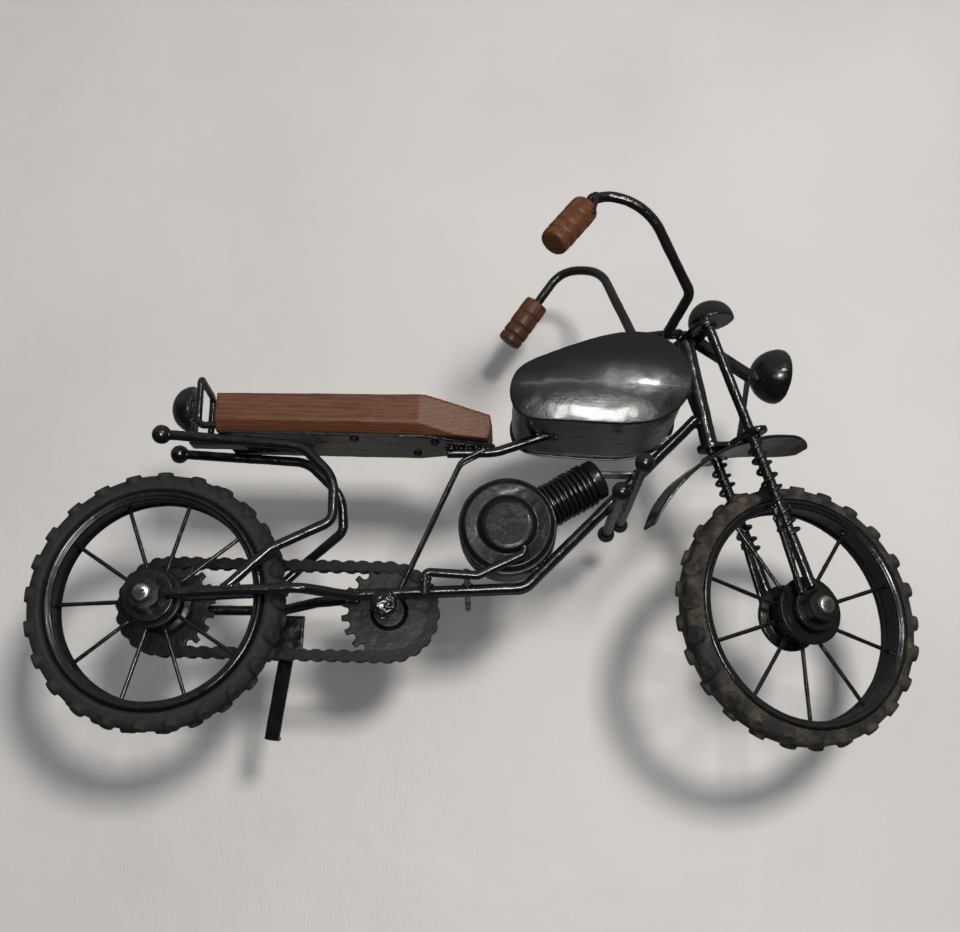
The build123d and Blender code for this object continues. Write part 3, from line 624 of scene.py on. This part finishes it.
def make_grip(node):
    middle, way, half, radius = main_axis(points_of(node))
    if (middle + way * half)[2] > middle[2]:
        way = -way
    length = 2 * half
    profile = [(0.0, 0.0), (0.0, 0.62), (0.0, 0.90), (0.02, 0.965), (0.07, 0.985)]
    for start, depth in GROOVES:
        profile += [
            (start, 1.0), (start + 0.008, 1 - depth), (start + 0.032, 1 - depth), (start + 0.042, 0.985),
        ]
    profile += [(0.93, 0.97), (0.975, 0.93), (0.99, 0.84), (1.0, 0.74), (1.0, 0.0)]
    profile = rounded([(t * length, r * radius) for t, r in profile], False, 1)
    shape = Shape()
    shape.rings(turned(profile, middle - way * half, way, 72))
    look = wood_look(node + "_wood", way, middle + np.array((0.004, 0, 0.003)))
    add_lumps(rebuilt(node, shape, look), 0.3 * MM, 0.01)


make_grip("grip_right")
make_grip("grip_left")


# ---- carried-over CAD nodes ----

replaced = {n for o in scene.objects for n in o.get("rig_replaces", [])}
coats = {                     # voxel, softening passes, lump height, lump size and level
    "drive_chain": None,
    "seat_board": (0.55 * MM, 4, 0.5 * MM, 0.02),
    "tank_plates": (0.42 * MM, 3, 0.5 * MM, 0.02),
    "tank_wall": (0.42 * MM, 2, 0.5 * MM, 0.014),
    "rear_spokes": (0.28 * MM, 1, 0.25 * MM, 0.009),
    "front_spokes": (0.28 * MM, 1, 0.25 * MM, 0.009),
    "rear_sprocket": (0.28 * MM, 1, 0.15 * MM, 0.005),
    "front_sprocket": (0.28 * MM, 1, 0.15 * MM, 0.005),
    "front_fender": (0.34 * MM, 2, 0.5 * MM, 0.012),
    "headlamp_strap": (0.25 * MM, 1, 0.3 * MM, 0.006),
    "seat_screws": (0.2 * MM, 1, 0.0, 0.006),
    "shaft_cap": (0.25 * MM, 2, 1.2 * MM, 0.0032, 1.0),
    "brake_lever": (0.22 * MM, 1, 0.3 * MM, 0.004),
    "stand_rivet": (0.2 * MM, 1, 0.2 * MM, 0.004),
}
plain_coat = (0.36 * MM, 2, 0.32 * MM, 0.007)
seat_look = wood_look("seat_wood", (1, 0.03, 0.02), (0.05, 0.012, 0.11))
for name, obj in nodes.items():
    if name in replaced:
        continue
    look = looks.get(slot_of[name])
    if name == "seat_board":
        look = seat_look
    if name.startswith("tank"):
        look = looks["tank_enamel"]
    if name in ("crankcase", "crankcase_covers", "front_hub", "rear_hub"):
        look = looks["satin_enamel"]
    if name == "cross_pins":
        look = looks["worn_steel"]
    obj.data.materials.clear()
    obj.data.materials.append(look)
    settings = coats.get(name, plain_coat)
    if settings:
        coat(obj, *settings)
    else:
        weld = obj.modifiers.new("join", "WELD")
        weld.merge_threshold = 0.002 * MM
        bevel = obj.modifiers.new("bevel", "BEVEL")
        bevel.width = 0.14 * MM
        bevel.segments = 2
        bevel.limit_method = "ANGLE"
        bevel.angle_limit = math.radians(35)


# ---- weld beads ----

BEAD_R = 1.15                 # millimetres, and smaller ones on the thin pieces
bead_sizes = {
    "rear_spokes": 0.75, "front_spokes": 0.75, "seat_struts": 0.8, "headlamp_strap": 0.7, "headlamp_bar": 0.9,
    "lamp_bracket": 0.8, "gauge": 0.8, "brake_lever": 0.7, "front_fender": 0.9, "fork_rods": 0.9,
}
unwelded = {"cylinder_fins", "tank_plates", "sprocket_bush"}
MEETING_GAP = 0.4 * MM        # surfaces nearer than this are taken to touch


def surface_of(name, graph):
    """Points and search tree of a node as it's shown."""
    shown = nodes[name]
    for o in scene.objects:
        if name in o.get("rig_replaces", []):
            shown = o
    evaluated = shown.evaluated_get(graph)
    mesh = evaluated.to_mesh()
    flat = np.empty(len(mesh.vertices) * 3, np.float32)
    mesh.vertices.foreach_get("co", flat)
    faces = [tuple(p.vertices) for p in mesh.polygons]
    points = flat.reshape(-1, 3).astype(float)
    evaluated.to_mesh_clear()
    return points, BVHTree.FromPolygons(points.tolist(), faces)


def bead_spots(first, second, spacing):
    """Points along the line where two surfaces meet, no closer together than the spacing."""
    spots = []
    for (points, _), (others, tree) in ((first, second), (second, first)):
        low, high = others.min(0) - MEETING_GAP, others.max(0) + MEETING_GAP
        for p in points[np.all((points > low) & (points < high), axis=1)]:
            hit = tree.find_nearest(Vector(p), MEETING_GAP)
            if hit[0] is not None:
                spots.append(p)
    dice.shuffle(spots)
    kept = []
    for p in spots:
        if all((p[0] - q[0]) ** 2 + (p[1] - q[1]) ** 2 + (p[2] - q[2]) ** 2 > spacing ** 2 for q in kept):
            kept.append(p)
    return kept


def blob():
    ball = bmesh.new()
    bmesh.ops.create_icosphere(ball, subdivisions=2, radius=1.0)
    points = np.array([v.co for v in ball.verts])
    faces = [tuple(v.index for v in f.verts) for f in ball.faces]
    ball.free()
    return points, faces


def make_welds():
    graph = bpy.context.evaluated_depsgraph_get()
    surfaces, shapes = {}, {}
    points, faces = blob()
    for a, b in record["behaviour"]["press_fits"]:
        if slot_of[a] != "enamel" or slot_of[b] != "enamel" or unwelded & {a, b}:
            continue
        for name in (a, b):
            if name not in surfaces:
                surfaces[name] = surface_of(name, graph)
        size = min(bead_sizes.get(a, BEAD_R), bead_sizes.get(b, BEAD_R)) * MM
        shape = shapes.setdefault(body_of[a], Shape())
        for spot in bead_spots(surfaces[a], surfaces[b], size * 1.25):
            scale = size * np.array([dice.uniform(0.75, 1.15) for _ in range(3)])
            shape.add_mesh(points * scale + spot, faces)
    for body, shape in shapes.items():
        made = piece(body + "_welds", shape, looks["enamel"], body, [])
        coat(made, 0.26 * MM, 1, 0.25 * MM, 0.003)


make_welds()


# ---- floor, sheet, lights, camera ----

def sheet_look(name, tint_low, tint_high, gloss):
    """Pale cloth that is only seen from its front; its colour is darkened in the gloss of other pieces, a
    painted shade in their reflections.
    """
    look = Look(name)
    weave = look.noise(1100, 3.0, 0.6, look.stretched((1.0, 1.0, 0.25)))
    cloud = look.noise(6, 3.0)
    mirrored = look.node("ShaderNodeLightPath").outputs["Is Glossy Ray"]
    tint_and_mirrored_shade = look.mix(cloud, tint_low, tint_high)
    # Glossy rays see the cloth darkened to 22 percent of its colour: painted shade in the reflections of other
    # pieces.
    tint_and_mirrored_shade = look.mix(look.maths("MULTIPLY", mirrored, 0.78), tint_and_mirrored_shade, (0.0, 0.0, 0.0))
    rough = look.span(cloud, 0.3, 0.7, 0.42, 0.6)
    normal = look.bump([(look.noise(26, 2.0), 0.0015), (weave, 0.00012)])
    shader = look.node(
        "ShaderNodeBsdfPrincipled", Base_Color=tint_and_mirrored_shade, Roughness=rough, Specular_IOR_Level=gloss, Normal=normal,
    )
    clear = look.node("ShaderNodeBsdfTransparent")
    back = look.node("ShaderNodeNewGeometry").outputs["Backfacing"]
    choose = look.node("ShaderNodeMixShader")
    for socket, source in zip(choose.inputs, (back, shader.outputs[0], clear.outputs[0])):
        look.tree.links.new(source, socket)
    look.tree.links.new(choose.outputs[0], look.out.inputs["Surface"])
    return look.material


def flat_sheet(name, corner, side_a, side_b, cells, look, crease):
    """Large sheet; crease(a, b) gives how far a point stands out, in metres."""
    corner, side_a, side_b = np.array(corner), np.array(side_a), np.array(side_b)
    out = unit(np.cross(side_a, side_b))
    shape = Shape()
    for i in range(cells + 1):
        for j in range(cells + 1):
            a, b = i / cells, j / cells
            shape.points.append(tuple(corner + side_a * a + side_b * b + out * crease(a, b)))
    row = cells + 1
    for i in range(cells):
        for j in range(cells):
            k = i * row + j
            shape.faces.append((k, k + row, k + row + 1, k + 1))
    mesh = bpy.data.meshes.new(name)
    mesh.from_pydata(shape.points, [], shape.faces)
    mesh.materials.append(look)
    mesh.shade_smooth()
    made = bpy.data.objects.new(name, mesh)
    scene.collection.objects.link(made)
    return made


def folds(a, b):
    """Soft creases of a hung sheet."""
    wide = math.sin(a * 9 + 1.3 * math.sin(b * 5)) * math.sin(b * 6 + 0.7)
    fine = math.sin(a * 34 + 3 * math.sin(b * 8)) * math.sin(b * 21 + 1.1)
    return 0.0022 * wide + 0.0006 * fine


def steered_reach():
    """How far the handlebar's pieces get towards +Y over the whole steering range."""
    joint = joints["steering"]
    pivot = Vector(joint["pos_m"])
    points = np.concatenate([points_of(name) for name in ("handlebar", "grip_left", "grip_right")]) - pivot
    reach = -math.inf
    for degrees in np.linspace(*joint["range_deg"], 13):
        turn = np.array(Matrix.Rotation(math.radians(degrees), 3, Vector(joint["axis"])))
        reach = max(reach, (points @ turn.T)[:, 1].max() + pivot.y)
    return reach


middle_x = (cad_lo.x + cad_hi.x) / 2
FLOOR_SIZE, SHEET_SIZE = 4.0, 2.4
SHEET_GAP = 4 * MM
sheet_y = max(cad_hi.y, steered_reach()) + SHEET_GAP

floor_cloth = sheet_look("floor_cloth", (0.56, 0.545, 0.53), (0.63, 0.615, 0.60), 0.0)
floor_corner = (middle_x - FLOOR_SIZE / 2, -FLOOR_SIZE / 2, 0)
floor = flat_sheet(
    "floor", floor_corner, (FLOOR_SIZE, 0, 0), (0, FLOOR_SIZE, 0), 8, floor_cloth, lambda a, b: 0.0,
)
floor.visible_shadow = False
floor.visible_glossy = False
floor.visible_diffuse = False

hung_cloth = sheet_look("hung_sheet", (0.42, 0.408, 0.398), (0.52, 0.507, 0.497), 0.4)
sheet_corner = (middle_x - SHEET_SIZE / 2, sheet_y, -1.0)
sheet = flat_sheet(
    "sheet", sheet_corner, (SHEET_SIZE, 0, 0), (0, 0, SHEET_SIZE), 220, hung_cloth, folds,
)
sheet.visible_shadow = False


def area_light(name, place, target, size, power, colour, lights=True, mirrored=True):
    """Soft lamp; it can be made to light surfaces only, or to show in their gloss only."""
    data = bpy.data.lights.new(name, "AREA")
    data.shape = "RECTANGLE"
    data.size, data.size_y = size
    data.energy = power
    data.color = colour
    lamp = bpy.data.objects.new(name, data)
    scene.collection.objects.link(lamp)
    lamp.location = place
    lamp.rotation_mode = "QUATERNION"
    lamp.rotation_quaternion = (Vector(target) - Vector(place)).to_track_quat("-Z", "Y")
    lamp.visible_camera = False
    lamp.visible_diffuse = lights
    lamp.visible_glossy = mirrored


WARM, NEUTRAL, COOL = (1.0, 0.97, 0.93), (1.0, 0.98, 0.95), (0.93, 0.96, 1.0)
target = (middle_x, 0, 0.1)
area_light("key", (0.42, -0.98, 0.28), target, (0.16, 0.16), 13, WARM, mirrored=False)
area_light("fill", (-0.7, -1.1, 0.45), target, (1.2, 1.2), 3.5, COOL, mirrored=False)
area_light("back", (-0.5, 1.0, 0.8), target, (0.8, 0.8), 5, NEUTRAL, mirrored=False)
area_light("back_panel", (0.0, 1.2, 0.5), target, (0.9, 0.25), 1.5, NEUTRAL, lights=False)
area_light("glint", (0.46, -0.95, 0.42), target, (0.07, 0.07), 2.2, NEUTRAL, lights=False)
area_light("low_panel", (0.25, -1.25, -0.1), target, (0.42, 0.22), 9.0, NEUTRAL, lights=False)
area_light("high_strip", (0.28, -1.3, 0.46), target, (1.1, 0.03), 0.9, NEUTRAL, lights=False)


def room_world():
    """Soft pale light all round; reflections see a dim room that is darker towards the floor."""
    world = bpy.data.worlds.new("room")
    world.use_nodes = True
    tree = world.node_tree
    background = tree.nodes["Background"]
    background.inputs["Color"].default_value = (0.80, 0.81, 0.83, 1)
    coords = tree.nodes.new("ShaderNodeTexCoord")
    parts = tree.nodes.new("ShaderNodeSeparateXYZ")
    tree.links.new(coords.outputs["Generated"], parts.inputs["Vector"])
    upward = tree.nodes.new("ShaderNodeMapRange")
    upward.inputs["From Min"].default_value = 0.0
    upward.inputs["From Max"].default_value = 0.45
    upward.inputs["To Min"].default_value = 0.01
    upward.inputs["To Max"].default_value = 0.24
    tree.links.new(parts.outputs["Z"], upward.inputs["Value"])
    rays = tree.nodes.new("ShaderNodeLightPath")
    strength = tree.nodes.new("ShaderNodeMapRange")
    strength.inputs["To Min"].default_value = 0.36
    tree.links.new(upward.outputs["Result"], strength.inputs["To Max"])
    tree.links.new(rays.outputs["Is Glossy Ray"], strength.inputs["Value"])
    tree.links.new(strength.outputs["Result"], background.inputs["Strength"])
    scene.world = world


room_world()

CAMERA_PLACE = (0.157, -0.502, -0.0218)
YAW, PITCH, ROLL = math.radians(-1.8), math.radians(16.0), math.radians(1.7)
LENS = 43.16


def make_camera():
    ahead = Vector((math.sin(YAW) * math.cos(PITCH), math.cos(YAW) * math.cos(PITCH), math.sin(PITCH)))
    level_right = Vector((math.cos(YAW), -math.sin(YAW), 0))
    level_up = level_right.cross(ahead)
    right = math.cos(ROLL) * level_right + math.sin(ROLL) * level_up
    up = -math.sin(ROLL) * level_right + math.cos(ROLL) * level_up
    data = bpy.data.cameras.new("camera")
    data.lens = LENS
    data.sensor_width = 36
    data.sensor_fit = "HORIZONTAL"
    data.clip_start = 0.01
    camera = bpy.data.objects.new("camera", data)
    scene.collection.objects.link(camera)
    turn = [[right[i], up[i], -ahead[i], CAMERA_PLACE[i]] for i in range(3)] + [[0, 0, 0, 1]]
    camera.matrix_world = Matrix(turn)
    scene.camera = camera


make_camera()
scene.view_settings.view_transform = "Standard"
